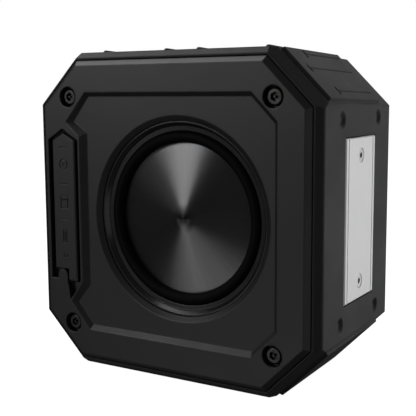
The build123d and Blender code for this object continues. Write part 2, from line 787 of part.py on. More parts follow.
with BuildPart() as bluetooth_module:
    with BuildSketch(Plane.YZ.offset(board_inner_x)):
        with Locations(on_board(module_spot)):
            Rectangle(*module_size)
    extrude(amount=module_gauge)
    with BuildSketch(Plane.YZ.offset(board_inner_x + module_gauge)):
        with Locations(on_board(shield_spot)):
            Rectangle(*shield_size)
    extrude(amount=shield_height)
keep(bluetooth_module, "bluetooth_module")

with BuildPart() as amplifier_chip:
    with BuildSketch(Plane.YZ.offset(board_inner_x + snug)):
        with Locations(on_board(chip_spot)):
            Rectangle(chip_size, chip_size)
    extrude(amount=chip_height)
    with BuildSketch(Plane.YZ.offset(board_inner_x)):
        with Locations(on_board(chip_spot)):
            with GridLocations(0, 1.0, 1, chip_pins):
                Rectangle(chip_size + 2.0, 0.4)
    extrude(amount=0.3)
keep(amplifier_chip, "amplifier_chip")

with BuildPart() as power_coil:
    with BuildSketch(Plane.YZ.offset(board_inner_x)):
        with Locations(on_board(coil_spot)):
            RectangleRounded(coil_size, coil_size, 1.0)
    extrude(amount=coil_height)
keep(power_coil, "power_coil")

with BuildPart() as board_capacitors:
    for spot in capacitor_spots:
        with BuildSketch(Plane.YZ.offset(board_inner_x)):
            with Locations(on_board(spot)):
                Circle(capacitor_radius)
        extrude(amount=capacitor_height)
keep(board_capacitors, "board_capacitors")

with BuildPart() as board_screws:
    with BuildSketch(Plane.YZ.offset(board_inner_x)):
        with Locations(*[(y, z + mid) for y, z in main_board_bolts]):
            Circle(small_head_radius)
    extrude(amount=small_head_height)
    with BuildSketch(Plane.YZ.offset(board_inner_x)):
        with Locations(*[(y, z + mid) for y, z in main_board_bolts]):
            Circle(small_shank_radius)
    extrude(amount=-board_screw_length)
keep(board_screws, "board_screws")

# ---- battery: two round cells in a tray ----
cell_radius = 9.1
cell_length = 65.0
cell_cap = 1.2
cell_cap_radius = 2.8
cell_y = -9.3
cell_spots = {"battery_cell_upper": 9.7, "battery_cell_lower": -9.7}
tray_front_y = 0.1
tray_gauge = 1.2
tray_half = 34.6
tray_reach = 20.0
tray_end = 1.4
tray_end_height = 14.0
tray_leg_spot = 24.0
tray_leg_width = 8.0
tray_leg_height = 8.0

for name, z in cell_spots.items():
    with BuildPart() as cell:
        with BuildSketch(Plane.YZ.offset(-cell_length / 2)):
            with Locations((cell_y, mid + z)):
                Circle(cell_radius)
        extrude(amount=cell_length - cell_cap)
        fillet(cell.edges().filter_by(GeomType.CIRCLE), radius=0.6)
        with BuildSketch(Plane.YZ.offset(cell_length / 2 - cell_cap)):
            with Locations((cell_y, mid + z)):
                Circle(cell_cap_radius)
        extrude(amount=cell_cap)
    keep(cell, name)

with BuildPart() as battery_tray:
    with BuildSketch(facing_front(tray_front_y + tray_gauge)):
        Rectangle(2 * tray_half, 2 * tray_reach)
    extrude(amount=tray_gauge)
    for side in (-1, 1):
        with BuildSketch(facing_front(tray_front_y)):
            with Locations((side * (tray_half - tray_end / 2), 0)):
                Rectangle(tray_end, 2 * tray_reach)
        extrude(amount=tray_end_height)
        with BuildSketch(facing_front(tray_front_y + tray_gauge)):
            with Locations((side * tray_leg_spot, -(tray_reach + chassis_inner) / 2)):
                Rectangle(tray_leg_width, chassis_inner - tray_reach)
        extrude(amount=tray_leg_height)
keep(battery_tray, "battery_tray")

# ---- passive radiator: frame, surround, spun disc and its weight ----
frame_outer = 37.0
frame_back_y = -24.6
nose_radius = opening_radius - 0.2
radiator_bolt_radius = 34.7
radiator_shank_radius = 1.0
frame_step_radii = (31.6, 30.5, 29.0)
radiator_bolts = around(radiator_bolt_radius, 6, 30, radiator_x)

with BuildPart() as radiator_frame:
    add(turned(
        [
            (surround_outer + snug, frame_back_y), (frame_outer, frame_back_y), (frame_outer, bezel_back_y),
            (nose_radius, bezel_back_y), (nose_radius, recess_floor_y + 1.6),
            (frame_step_radii[0], recess_floor_y + 1.6), (frame_step_radii[1], recess_floor_y + 3.0),
            (frame_step_radii[1], recess_floor_y + 3.2), (frame_step_radii[2], recess_floor_y + 3.4),
            (frame_step_radii[2], recess_floor_y + 3.7), (surround_outer + snug, recess_floor_y + 3.7),
        ],
        radiator_x,
    ).part)
    with BuildSketch(facing_front(frame_back_y + 1)):
        with Locations(*radiator_bolts):
            Circle(radiator_shank_radius + slip)
    extrude(amount=6, mode=Mode.SUBTRACT)
keep(radiator_frame, "radiator_frame")

with BuildPart() as radiator_screws:
    with BuildSketch(facing_back(frame_back_y)):
        with Locations(*[(-x, z) for x, z in radiator_bolts]):
            Circle(small_head_radius)
    extrude(amount=small_head_height)
    with BuildSketch(facing_back(frame_back_y)):
        with Locations(*[(-x, z) for x, z in radiator_bolts]):
            Circle(radiator_shank_radius)
    extrude(amount=-(frame_back_y - bezel_back_y))
keep(radiator_screws, "radiator_screws")

# half roll between the frame's seat and the disc, which it clears by a hair
roll_gauge = 0.7
roll_inner = disc_radius + 0.25
roll_outer = 29.0
roll_rise = 1.5
seat_y = recess_floor_y + 3.75


def half_roll(inner, outer, lip, base_y, rise, gauge, x, way=-1):
    """A rubber half roll with a flat outer lip; it bulges towards way times Y."""
    middle = (inner + outer) / 2
    with BuildPart() as piece:
        with BuildSketch(axis_plane(x)):
            with BuildLine():
                ThreePointArc((inner, base_y), (middle, base_y + way * rise), (outer, base_y))
                Line((outer, base_y), (lip, base_y))
                Line((lip, base_y), (lip, base_y - way * gauge))
                Line((lip, base_y - way * gauge), (outer - gauge, base_y - way * gauge))
                ThreePointArc((outer - gauge, base_y - way * gauge), (middle, base_y + way * (rise - gauge)),
                              (inner + gauge * 0.4, base_y - way * gauge))
                Line((inner + gauge * 0.4, base_y - way * gauge), (inner, base_y))
            make_face()
        revolve(axis=Axis((x, 0, mid), (0, 1, 0)))
    return piece


keep(half_roll(roll_inner, roll_outer, surround_outer, seat_y, roll_rise, roll_gauge, radiator_x),
     "radiator_surround")

keep(turned(
    [
        (0, disc_rim_y - disc_rise), (disc_radius, disc_rim_y), (disc_radius, disc_rim_y + disc_gauge),
        (0, disc_rim_y - disc_rise + disc_gauge),
    ],
    radiator_x,
), "radiator_disc")

weight_radius = 11.0
weight_back_y = -22.0
cone_drop = disc_rise * weight_radius / disc_radius
keep(turned(
    [
        (0, disc_rim_y - disc_rise + disc_gauge),
        (weight_radius, disc_rim_y - disc_rise + disc_gauge + cone_drop),
        (weight_radius, weight_back_y), (0, weight_back_y),
    ],
    radiator_x,
), "radiator_weight")

# ---- driver at the back, on the chassis's baffle ----
driver_gasket_gauge = 0.6
flange_y = baffle_y + baffle_gauge + driver_gasket_gauge
flange_gauge = 1.0
magnet_front_y = 1.6
yoke_gauge = 2.0
magnet_gauge = 6.0
top_plate_gauge = 2.0
magnet_radius = 21.0
plate_radius = magnet_radius - 1.5
magnet_hole_radius = 12.0
pole_radius = 9.2
basket_window = (13.0, 16.0)
basket_window_radius = 22.5
driver_shank_radius = 1.4
driver_head_radius = 2.0
driver_head_height = 1.0
cone_roll_outer = 27.0
cone_roll_rise = 0.9
cone_roll_gauge = 0.5
roll_gap = 0.25            # between a roll and the plate or cone that it carries
coil_inner = 9.5
coil_gauge = 0.5
gap_outer = 10.4
basket_neck = 18.0
cone_rim_radius = 23.2
cone_rim_y = flange_y + 0.6
cone_neck_y = 17.5
top_plate_y = magnet_front_y + yoke_gauge + magnet_gauge
basket_base_y = top_plate_y + top_plate_gauge

keep(turned(
    [
        (0, magnet_front_y), (plate_radius, magnet_front_y), (plate_radius, magnet_front_y + yoke_gauge),
        (pole_radius, magnet_front_y + yoke_gauge), (pole_radius, basket_base_y), (0, basket_base_y),
    ],
    0,
), "driver_yoke")
keep(turned(
    [
        (magnet_hole_radius, magnet_front_y + yoke_gauge), (magnet_radius, magnet_front_y + yoke_gauge),
        (magnet_radius, top_plate_y), (magnet_hole_radius, top_plate_y),
    ],
    0,
), "driver_magnet")
keep(turned(
    [
        (gap_outer, top_plate_y), (plate_radius, top_plate_y),
        (plate_radius, basket_base_y), (gap_outer, basket_base_y),
    ],
    0,
), "driver_top_plate")

with BuildPart() as driver_basket:
    add(turned(
        [
            (basket_neck - 4, basket_base_y), (basket_neck, basket_base_y), (driver_hole - 0.5, flange_y - 2.0),
            (driver_hole - 0.5, flange_y), (driver_flange_radius, flange_y),
            (driver_flange_radius, flange_y + flange_gauge), (driver_hole - 1.7, flange_y + flange_gauge),
            (driver_hole - 1.7, flange_y - 1.5), (basket_neck - 0.7, basket_base_y + 1.0),
            (basket_neck - 4, basket_base_y + 1.0),
        ],
        0,
    ).part)
    with BuildSketch(facing_back(basket_base_y + 2.5)):
        with PolarLocations(basket_window_radius, 4, start_angle=0):
            Rectangle(*basket_window)
    extrude(amount=flange_y - basket_base_y - 5.5, mode=Mode.SUBTRACT)
    with BuildSketch(facing_front(flange_y + flange_gauge + 1)):
        with Locations(*driver_bolts):
            Circle(driver_shank_radius + slip)
    extrude(amount=flange_gauge + 2, mode=Mode.SUBTRACT)
keep(driver_basket, "driver_basket")

with BuildPart() as driver_gasket:
    with BuildSketch(facing_front(flange_y)):
        Circle(driver_flange_radius)
        Circle(driver_hole - 0.3, mode=Mode.SUBTRACT)
        with Locations(*driver_bolts):
            Circle(driver_shank_radius + slip, mode=Mode.SUBTRACT)
    extrude(amount=driver_gasket_gauge)
keep(driver_gasket, "driver_gasket")

with BuildPart() as driver_screws:
    with BuildSketch(facing_back(flange_y + flange_gauge)):
        with Locations(*driver_bolts):
            Circle(driver_head_radius)
    extrude(amount=driver_head_height)
    with BuildSketch(facing_back(flange_y + flange_gauge)):
        with Locations(*driver_bolts):
            Circle(driver_shank_radius)
    extrude(amount=-(flange_gauge + driver_gasket_gauge + baffle_gauge + 1.5))
keep(driver_screws, "driver_screws")

keep(half_roll(cone_rim_radius + roll_gap, cone_roll_outer, driver_bolt_radius - 2.2, flange_y + flange_gauge + 0.02,
               cone_roll_rise, -cone_roll_gauge, 0, way=1), "driver_surround")

# cone, dust cap and voice coil move together
keep(turned(
    [
        (coil_inner + coil_gauge, cone_neck_y), (cone_rim_radius, cone_rim_y - 1.0), (cone_rim_radius, cone_rim_y),
        (cone_rim_radius - 0.6, cone_rim_y), (coil_inner + coil_gauge, cone_neck_y + 0.7),
    ],
    0,
), "driver_cone")
cap_radius = 12.5
cap_rise = 2.9
cap_edge_y = 19.3
cap_gauge = 0.5
cap_sphere = (cap_radius**2 + cap_rise**2) / (2 * cap_rise)
cap_centre_y = cap_edge_y + cap_rise - cap_sphere


def cap_point(sphere, radius):
    """Point of the dust cap's dome at a radius from the axis."""
    return (radius, cap_centre_y + sqrt(sphere**2 - radius**2))


with BuildPart() as driver_dust_cap:
    with BuildSketch(axis_plane(0)):
        with BuildLine():
            inner_sphere = cap_sphere - cap_gauge
            outer_dome = ThreePointArc(*[cap_point(cap_sphere, r) for r in (0, cap_radius / 2, cap_radius)])
            inner_dome = ThreePointArc(*[cap_point(inner_sphere, r) for r in (cap_radius, cap_radius / 2, 0)])
            Line(outer_dome @ 1, inner_dome @ 0)
            Line(inner_dome @ 1, outer_dome @ 0)
        make_face()
    revolve(axis=Axis((0, 0, mid), (0, 1, 0)))
keep(driver_dust_cap, "driver_dust_cap")
keep(turned(
    [
        (coil_inner, top_plate_y - 1.6), (coil_inner + coil_gauge, top_plate_y - 1.6),
        (coil_inner + coil_gauge, cone_neck_y + 0.7), (coil_inner, cone_neck_y + 0.7),
    ],
    0,
), "voice_coil")

# corrugated spider between the basket and the coil
spider_y = basket_base_y + 1.05
spider_rings = 3
spider_inner = coil_inner + coil_gauge + 0.15
spider_outer = basket_neck - 0.9
spider_pitch = (spider_outer - spider_inner) / (2 * spider_rings)
spider_crests = [(spider_inner + spider_pitch * i, spider_y + (0.8 if i % 2 else 0.0))
                 for i in range(2 * spider_rings + 1)]
keep(turned(spider_crests + [(r, y + 0.35) for r, y in reversed(spider_crests)], 0), "driver_spider")

# ---- rear grille: perforated steel ----
hole_radius = 1.15
hole_pitch = 3.3
grille_y = -bezel_back_y + grille_seat
with BuildPart() as rear_grille:
    with BuildSketch(facing_front(grille_y)):
        Circle(grille_radius)
        rows = int(grille_opening / (hole_pitch * sqrt(3) / 2))
        for row in range(-rows, rows + 1):
            z = row * hole_pitch * sqrt(3) / 2
            shift = hole_pitch / 2 if row % 2 else 0
            spots = [(i * hole_pitch + shift, z) for i in range(-10, 11)]
            inside = [(x, z) for x, z in spots if sqrt(x * x + z * z) < grille_opening - 2.4]
            if inside:
                with Locations(*inside):
                    Circle(hole_radius, mode=Mode.SUBTRACT)
    extrude(amount=grille_gauge)
keep(rear_grille, "rear_grille")

# ---- keys along the top, with their switches on the key board ----
key_seat_z = mid + body_size / 2 - chassis_inset + 0.7
switch_top = 2.6
plunger_top = 0.8
key_board_gauge = 1.4
key_board_screw_length = 6.0
key_board_size = (72.0, 13.0)
switch_size = 6.0
plunger_radius = 1.6
key_rounding = 1.5
key_edge = 0.7
key_mark_depth = 0.3


def key_mark(kind):
    """The mark pressed into a key's top."""
    if kind == "power_key":
        with BuildSketch(Plane.XY, mode=Mode.PRIVATE) as mark:
            Circle(2.0)
            Circle(1.5, mode=Mode.SUBTRACT)
            with Locations((0, 1.6)):
                Rectangle(1.4, 1.6, mode=Mode.SUBTRACT)
                Rectangle(0.5, 1.8)
    elif kind == "volume_down_key":
        with BuildSketch(Plane.XY, mode=Mode.PRIVATE) as mark:
            Rectangle(3.6, 0.7)
    elif kind == "volume_up_key":
        with BuildSketch(Plane.XY, mode=Mode.PRIVATE) as mark:
            Rectangle(3.6, 0.7)
            Rectangle(0.7, 3.6)
    elif kind == "play_key":
        with BuildSketch(Plane.XY, mode=Mode.PRIVATE) as mark:
            Polygon((-1.8, -1.6), (0.6, 0), (-1.8, 1.6), align=None)
            with Locations((1.2, 0), (2.2, 0)):
                Rectangle(0.5, 3.2)
    else:
        with BuildSketch(Plane.XY, mode=Mode.PRIVATE) as mark:
            Circle(1.9)
            Circle(1.4, mode=Mode.SUBTRACT)
            Circle(0.6)
    return mark.sketch


for name, x in zip(key_names, key_spots):
    mark = key_mark(name)
    with BuildPart() as key:
        with BuildSketch(Plane.XY.offset(key_seat_z)):
            with Locations((x, 0)):
                RectangleRounded(key_width, key_length, key_rounding)
        extrude(amount=key_top - key_seat_z)
        fillet(key.faces().sort_by(Axis.Z)[-1].edges(), radius=key_edge)
        with BuildSketch(Plane.XY.offset(key_top)):
            with Locations((x, 0)):
                add(mark)
        extrude(amount=-key_mark_depth, mode=Mode.SUBTRACT)
        with BuildSketch(Plane.XY.offset(key_seat_z)):
            with Locations((x, 0)):
                Circle(stem_radius)
        extrude(amount=-(key_seat_z - key_board_top - switch_top - plunger_top - key_travel - snug))
    keep(key, name)

with BuildPart() as key_board:
    with BuildSketch(Plane.XY.offset(key_board_top)):
        RectangleRounded(*key_board_size, 1.5)
        with Locations(*key_board_posts):
            Circle(board_hole_radius, mode=Mode.SUBTRACT)
    extrude(amount=-key_board_gauge)
keep(key_board, "key_board")

with BuildPart() as key_switches:
    with BuildSketch(Plane.XY.offset(key_board_top)):
        with Locations(*[(x, 0) for x in key_spots]):
            Rectangle(switch_size, switch_size)
    extrude(amount=switch_top)
    with BuildSketch(Plane.XY.offset(key_board_top + switch_top)):
        with Locations(*[(x, 0) for x in key_spots]):
            Circle(plunger_radius)
    extrude(amount=plunger_top)
keep(key_switches, "key_switches")

with BuildPart() as key_board_screws:
    with BuildSketch(Plane.XY.offset(key_board_top - key_board_gauge)):
        with Locations(*key_board_posts):
            Circle(small_head_radius)
    extrude(amount=-small_head_height)
    with BuildSketch(Plane.XY.offset(key_board_top - key_board_gauge)):
        with Locations(*key_board_posts):
            Circle(small_shank_radius)
    extrude(amount=key_board_screw_length)
keep(key_board_screws, "key_board_screws")

# status light pipe and microphone, let into the top wall
light_foot_z = mid + chassis_inner - 0.5
light_top_z = mid + body_size / 2 - tan(radians(top_draft)) * (light_y - front_y) + snug
microphone_height = 2.2
with BuildPart() as status_light_pipe:
    with BuildSketch(Plane.XY.offset(light_foot_z)):
        with Locations((0, light_y)):
            Circle(light_radius)
    extrude(amount=light_top_z - light_foot_z)
keep(status_light_pipe, "status_light_pipe")

with BuildPart() as microphone:
    with BuildSketch(Plane.XY.offset(light_foot_z)):
        with Locations(mic_spot):
            Circle(mic_radius)
    extrude(amount=microphone_height)
keep(microphone, "microphone")

# ---- inner leads: two cores in a soft jacket, soldered at both ends ----
terminal_x = -24.5
terminal_y = 6.5
terminal_size = (5.0, 8.0)
with BuildPart() as driver_terminals:
    with BuildSketch(Plane.YZ.offset(terminal_x)):
        with Locations((terminal_y, mid)):
            Rectangle(*terminal_size)
    extrude(amount=-magnet_radius - slip - terminal_x)
keep(driver_terminals, "driver_terminals")

leads = {
    "battery_lead": [(board_inner_x, 14.0, -8.0), (-29.0, 14.0, -8.0),
                     (-29.0, tray_front_y + tray_gauge, -8.0)],
    "driver_lead": [(board_inner_x, 13.0, 2.0), (-33.0, 13.0, 2.0), (-29.5, terminal_y, 2.0),
                    (terminal_x, terminal_y, 2.0)],
    "key_board_lead": [(board_inner_x, 5.0, 32.0), (-31.4, 5.0, 32.0),
                       (-31.4, 5.0, key_board_top - mid - key_board_gauge)],
}
lead_radius = 0.55

for name, route in leads.items():
    stops = [Vector(x, y, z + mid) for x, y, z in route]
    runs = [stops[i + 1] - stops[i] for i in range(len(stops) - 1)]
    radii = [0.45 * min(runs[i].length, runs[i + 1].length) / tan(radians(runs[i].get_angle(runs[i + 1]) / 2))
             for i in range(len(runs) - 1)]
    print(name, "bend radii", [round(r, 2) for r in radii])
    with BuildPart() as lead:
        with BuildLine():
            path = FilletPolyline(*stops, radius=min(radii))
        with BuildSketch(Plane(origin=path @ 0, z_dir=path % 0)):
            Circle(lead_radius)
        sweep(path=path)
    print(name, "length", round(path.length, 1), "volume against section times length",
          round(lead.part.volume / (3.14159 * lead_radius**2 * path.length), 3))
    keep(lead, name)
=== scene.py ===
import math

import bpy
from mathutils import Matrix, Vector


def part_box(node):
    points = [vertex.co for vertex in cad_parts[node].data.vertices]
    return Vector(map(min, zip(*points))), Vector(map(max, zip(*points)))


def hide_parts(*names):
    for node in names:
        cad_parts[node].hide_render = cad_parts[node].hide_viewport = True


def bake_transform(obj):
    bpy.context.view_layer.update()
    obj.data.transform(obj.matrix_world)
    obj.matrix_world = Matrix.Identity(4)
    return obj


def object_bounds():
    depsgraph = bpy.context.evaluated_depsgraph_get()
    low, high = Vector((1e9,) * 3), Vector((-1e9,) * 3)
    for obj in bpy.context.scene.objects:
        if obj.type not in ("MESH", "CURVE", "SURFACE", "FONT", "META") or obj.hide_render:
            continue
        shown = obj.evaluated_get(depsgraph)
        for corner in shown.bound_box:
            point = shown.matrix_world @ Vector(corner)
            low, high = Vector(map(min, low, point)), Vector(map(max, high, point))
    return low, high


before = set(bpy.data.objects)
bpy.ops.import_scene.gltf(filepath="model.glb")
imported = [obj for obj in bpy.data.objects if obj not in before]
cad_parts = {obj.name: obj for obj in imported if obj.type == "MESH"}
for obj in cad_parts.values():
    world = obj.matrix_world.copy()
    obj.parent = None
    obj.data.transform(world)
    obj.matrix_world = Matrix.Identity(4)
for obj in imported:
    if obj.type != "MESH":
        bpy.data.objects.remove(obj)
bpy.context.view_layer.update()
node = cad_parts

# ---- studio ----
# A light table under a white sky: pale paper to look at, clear to the lamps. The two boxes
# at the left, one below the table, draw the wedges on the spun disc. The side plate mirrors
# the one at the right, and the others light the top, the back and the right of the front.
middle = sum(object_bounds(), Vector()) / 2

floor_mesh = bpy.data.meshes.new("studio_floor")
reach = 6.0
floor_mesh.from_pydata(
    [(-reach, -reach, 0), (reach, -reach, 0), (reach, reach, 0), (-reach, reach, 0)], [], [(0, 1, 2, 3)]
)
studio_floor = bpy.data.objects.new("studio_floor", floor_mesh)
bpy.context.scene.collection.objects.link(studio_floor)


def place(tree, kind, inputs=None, **settings):
    """Put a node in a tree. Inputs are numbers or colours, or other nodes' outputs."""
    made = tree.nodes.new(kind)
    for key, value in settings.items():
        setattr(made, key, value)
    for key, value in (inputs or {}).items():
        if isinstance(value, bpy.types.NodeSocket):
            tree.links.new(value, made.inputs[key])
        else:
            made.inputs[key].default_value = value
    return made


def maths(tree, operation, first, second=0.0, clamp=False):
    """The result of one sum on two values."""
    made = place(tree, "ShaderNodeMath", {0: first, 1: second}, operation=operation, use_clamp=clamp)
    return made.outputs[0]


def blend_colour(tree, amount, first, second):
    """A colour between two, by amount. A mix node's sockets 6 and 7 are its two colours."""
    colours = [c if isinstance(c, bpy.types.NodeSocket) else (*c, 1.0) for c in (first, second)]
    return place(
        tree, "ShaderNodeMix", {0: amount, 6: colours[0], 7: colours[1]}, data_type="RGBA"
    ).outputs[2]


floor_paper = bpy.data.materials.new("floor_paper")
floor_paper.use_nodes = True
paper = floor_paper.node_tree
paper.nodes.clear()
seen_white = 0.99
paper_grain = place(paper, "ShaderNodeTexNoise", {"Scale": 40.0, "Detail": 4.0})
paper_tone = blend_colour(paper, paper_grain.outputs["Fac"], (0.30, 0.30, 0.30), (0.34, 0.34, 0.34))
paper_face = place(paper, "ShaderNodeBsdfDiffuse", {"Color": paper_tone})
seen = place(paper, "ShaderNodeLightPath").outputs["Is Camera Ray"]
paper_glow = place(paper, "ShaderNodeEmission", {"Strength": maths(paper, "MULTIPLY", seen, seen_white)})
paper_sum = place(paper, "ShaderNodeAddShader", {0: paper_face.outputs[0], 1: paper_glow.outputs[0]})
ray_kind = place(paper, "ShaderNodeLightPath").outputs
passing = maths(paper, "MAXIMUM", ray_kind["Is Shadow Ray"], ray_kind["Is Glossy Ray"])
clear_table = place(paper, "ShaderNodeBsdfTransparent")
paper_mix = place(
    paper, "ShaderNodeMixShader", {0: passing, 1: paper_sum.outputs[0], 2: clear_table.outputs[0]}
)
place(paper, "ShaderNodeOutputMaterial", {"Surface": paper_mix.outputs[0]})
floor_mesh.materials.append(floor_paper)

sky = bpy.data.worlds.new("studio_sky")
bpy.context.scene.world = sky
sky.use_nodes = True
sky_tree = sky.node_tree
sky_tree.nodes.clear()
sky_glow = 0.07
added_when_seen = 0.93
looked_at = place(sky_tree, "ShaderNodeLightPath").outputs["Is Camera Ray"]
strength = maths(sky_tree, "ADD", maths(sky_tree, "MULTIPLY", looked_at, added_when_seen), sky_glow)
sky_light = place(sky_tree, "ShaderNodeBackground", {"Color": (1, 1, 1, 1), "Strength": strength})
place(sky_tree, "ShaderNodeOutputWorld", {"Surface": sky_light.outputs[0]})

for name, spot, width, height, watts in (
    ("box_left", (-0.73, -1.05, 0.46), 0.38, 0.5, 3.9),
    ("card_below", (-0.45, -1.02, -0.45), 0.38, 0.4, 0.68),
    ("box_top", (-0.55, 0.0, 0.95), 0.9, 0.8, 5.5),
    ("box_back", (0.22, 1.08, 0.76), 0.7, 0.4, 1.2),
    ("fill_right", (1.15, -0.58, -0.1), 0.7, 0.9, 0.9),
    ("box_right", (0.95, 1.12, 0.0), 1.0, 1.0, 4.8),
):
    lamp = bpy.data.lights.new(name, "AREA")
    lamp.shape = "RECTANGLE"
    lamp.size = width
    lamp.size_y = height
    lamp.energy = watts
    box = bpy.data.objects.new(name, lamp)
    box.location = spot
    box.rotation_euler = (middle - Vector(spot)).to_track_quat("-Z", "Y").to_euler()
    box.visible_camera = False
    bpy.context.scene.collection.objects.link(box)

bpy.context.scene.view_settings.view_transform = "Standard"
camera = bpy.data.cameras.new("camera")
camera.sensor_width = 36.0
camera.lens = 75.09
camera_spot = (0.16018, -0.26260, 0.09751)
turn, tilt, roll = (math.radians(degrees) for degrees in (31.88, 82.33, -0.35))
camera_stand = bpy.data.objects.new("camera", camera)
camera_stand.matrix_world = (
    Matrix.Translation(camera_spot)
    @ Matrix.Rotation(turn, 4, "Z")
    @ Matrix.Rotation(tilt, 4, "X")
    @ Matrix.Rotation(roll, 4, "Z")
)
bpy.context.scene.collection.objects.link(camera_stand)
bpy.context.scene.camera = camera_stand


# ---- body sleeve ----
# One thick moulding of black rubber, pulled over the chassis from the front. The mould's
# spark-eroded faces leave a fine matt grain; its raised pads and ribs rub bare first.
def effect(name, inputs, outputs):
    """An empty node group with float inputs (name, default) and outputs (name, kind)."""
    group = bpy.data.node_groups.new(name, "ShaderNodeTree")
    for label, default in inputs:
        made = group.interface.new_socket(name=label, in_out="INPUT", socket_type="NodeSocketFloat")
        made.default_value = default
    for label, kind in outputs:
        group.interface.new_socket(name=label, in_out="OUTPUT", socket_type="NodeSocket" + kind)
    return group, group.nodes.new("NodeGroupInput").outputs, group.nodes.new("NodeGroupOutput").inputs


def own_place(tree):
    """Each point's place on the piece, in metres."""
    return place(tree, "ShaderNodeTexCoord").outputs["Object"]


def cloudy(tree, spot, scale, **sockets):
    """The grey value of a noise texture."""
    return place(tree, "ShaderNodeTexNoise", {"Vector": spot, "Scale": scale, **sockets}).outputs["Fac"]


def vector_maths(tree, operation, first, second=(0, 0, 0), output=0):
    """The result of one sum on two vectors; output is "Value" where that is a number."""
    return place(tree, "ShaderNodeVectorMath", {0: first, 1: second}, operation=operation).outputs[output]


mould_grain, given, out = effect(
    "mould_grain", [("Grain", 0.0004)], [("Height", "Float"), ("Patches", "Float")]
)
spot = own_place(mould_grain)
per_metre = maths(mould_grain, "DIVIDE", 1.0, given["Grain"])
pits = place(mould_grain, "ShaderNodeTexVoronoi", {"Vector": spot, "Scale": per_metre}, feature="SMOOTH_F1")
pitted = maths(mould_grain, "MULTIPLY", pits.outputs["Distance"], 0.6)
crumb = cloudy(mould_grain, spot, per_metre, Detail=3.0, Roughness=0.65)
crumbled = maths(mould_grain, "MULTIPLY", crumb, 0.7)
mould_grain.links.new(maths(mould_grain, "ADD", pitted, crumbled), out["Height"])
cloud = cloudy(mould_grain, spot, 45.0, Detail=5.0, Roughness=0.6)
patches = place(mould_grain, "ShaderNodeMapRange", {"Value": cloud, "From Min": 0.3, "From Max": 0.7})
mould_grain.links.new(patches.outputs[0], out["Patches"])

edge_wear, given, out = effect(
    "edge_wear", [("Width", 0.0006), ("Patchiness", 0.5)], [("Worn", "Float"), ("Soft Normal", "Vector")]
)
rounded = place(edge_wear, "ShaderNodeBevel", {"Radius": given["Width"]}, samples=4).outputs[0]
facing = place(edge_wear, "ShaderNodeNewGeometry").outputs["Normal"]
alike = vector_maths(edge_wear, "DOT_PRODUCT", rounded, facing, "Value")
scuffs = cloudy(edge_wear, own_place(edge_wear), 260.0, Detail=6.0, Roughness=0.7)
edge = place(edge_wear, "ShaderNodeMapRange", {"Value": alike, "From Min": 0.995, "From Max": 0.90})
broken = maths(edge_wear, "SUBTRACT", 1.0, maths(edge_wear, "MULTIPLY", scuffs, given["Patchiness"]))
edge_wear.links.new(maths(edge_wear, "MULTIPLY", edge.outputs[0], broken, True), out["Worn"])
edge_wear.links.new(rounded, out["Soft Normal"])

settled_dust, given, out = effect("settled_dust", [("Amount", 0.3)], [("Dust", "Float")])
least_on_walls = 0.12
facing = place(settled_dust, "ShaderNodeNewGeometry").outputs["Normal"]
upward = place(settled_dust, "ShaderNodeSeparateXYZ", {0: facing}).outputs["Z"]
spot = own_place(settled_dust)
specks = cloudy(settled_dust, spot, 900.0, Detail=3.0)
veil = cloudy(settled_dust, spot, 30.0, Detail=4.0)
landed = maths(settled_dust, "MAXIMUM", upward, least_on_walls)
lying = maths(settled_dust, "MULTIPLY", landed, maths(settled_dust, "MULTIPLY", specks, veil))
settled_dust.links.new(maths(settled_dust, "MULTIPLY", lying, given["Amount"], True), out["Dust"])


def use(tree, group, **inputs):
    """Place a shared effect in a material, with its own values, and give its outputs."""
    return place(tree, "ShaderNodeGroup", inputs, node_tree=group).outputs


def spread(tree, value, low, high):
    """A value of 0 to 1 stretched between low and high."""
    return place(tree, "ShaderNodeMapRange", {"Value": value, "To Min": low, "To Max": high}).outputs[0]


def emboss(tree, skin, height, depth, strength, **sockets):
    """Raise a finish by a height of 0 to 1 times depth, in metres."""
    inputs = {"Height": height, "Distance": depth, "Strength": strength, **sockets}
    tree.links.new(place(tree, "ShaderNodeBump", inputs).outputs[0], skin["Normal"])


def finish_of(name, metallic=0.0, **plain):
    """A new material, its node tree and its shader's sockets, which take the plain values."""
    made = bpy.data.materials.new(name)
    made.use_nodes = True
    surface = made.node_tree.nodes["Principled BSDF"]
    surface.inputs["Metallic"].default_value = metallic
    for key, value in plain.items():
        surface.inputs[key.replace("_", " ")].default_value = value
    return made, made.node_tree, surface.inputs


def rough_skin(name, base, worn, grain, depth, rough, dust, width=0.0005, gloss=0.5):
    """A moulded rubber or plastic finish: grain, mottling, rubbed edges and dust."""
    made, tree, skin = finish_of(name, Specular_IOR_Level=gloss)
    texture = use(tree, mould_grain, Grain=grain)
    rubbed = use(tree, edge_wear, Width=width, Patchiness=0.6)
    lying = use(tree, settled_dust, Amount=dust)["Dust"]
    shade = blend_colour(tree, texture["Patches"], base, [c * 1.25 for c in base])
    shade = blend_colour(tree, rubbed["Worn"], shade, worn)
    tree.links.new(blend_colour(tree, lying, shade, (0.3, 0.29, 0.27)), skin["Base Color"])
    tree.links.new(spread(tree, texture["Patches"], rough - 0.04, rough + 0.05), skin["Roughness"])
    emboss(tree, skin, texture["Height"], depth, strength=0.6, Normal=rubbed["Soft Normal"])
    return made


def coat(finish, *names):
    """Give CAD pieces a finish."""
    for name in names:
        node[name].material_slots[0].material = finish


sleeve_rubber = rough_skin(
    "sleeve_rubber", base=(0.010, 0.010, 0.0108), worn=(0.026, 0.026, 0.027), grain=0.00035, depth=0.00006,
    rough=0.54, dust=0.08, width=0.0008, gloss=0.28,
)
coat(sleeve_rubber, "body_sleeve")

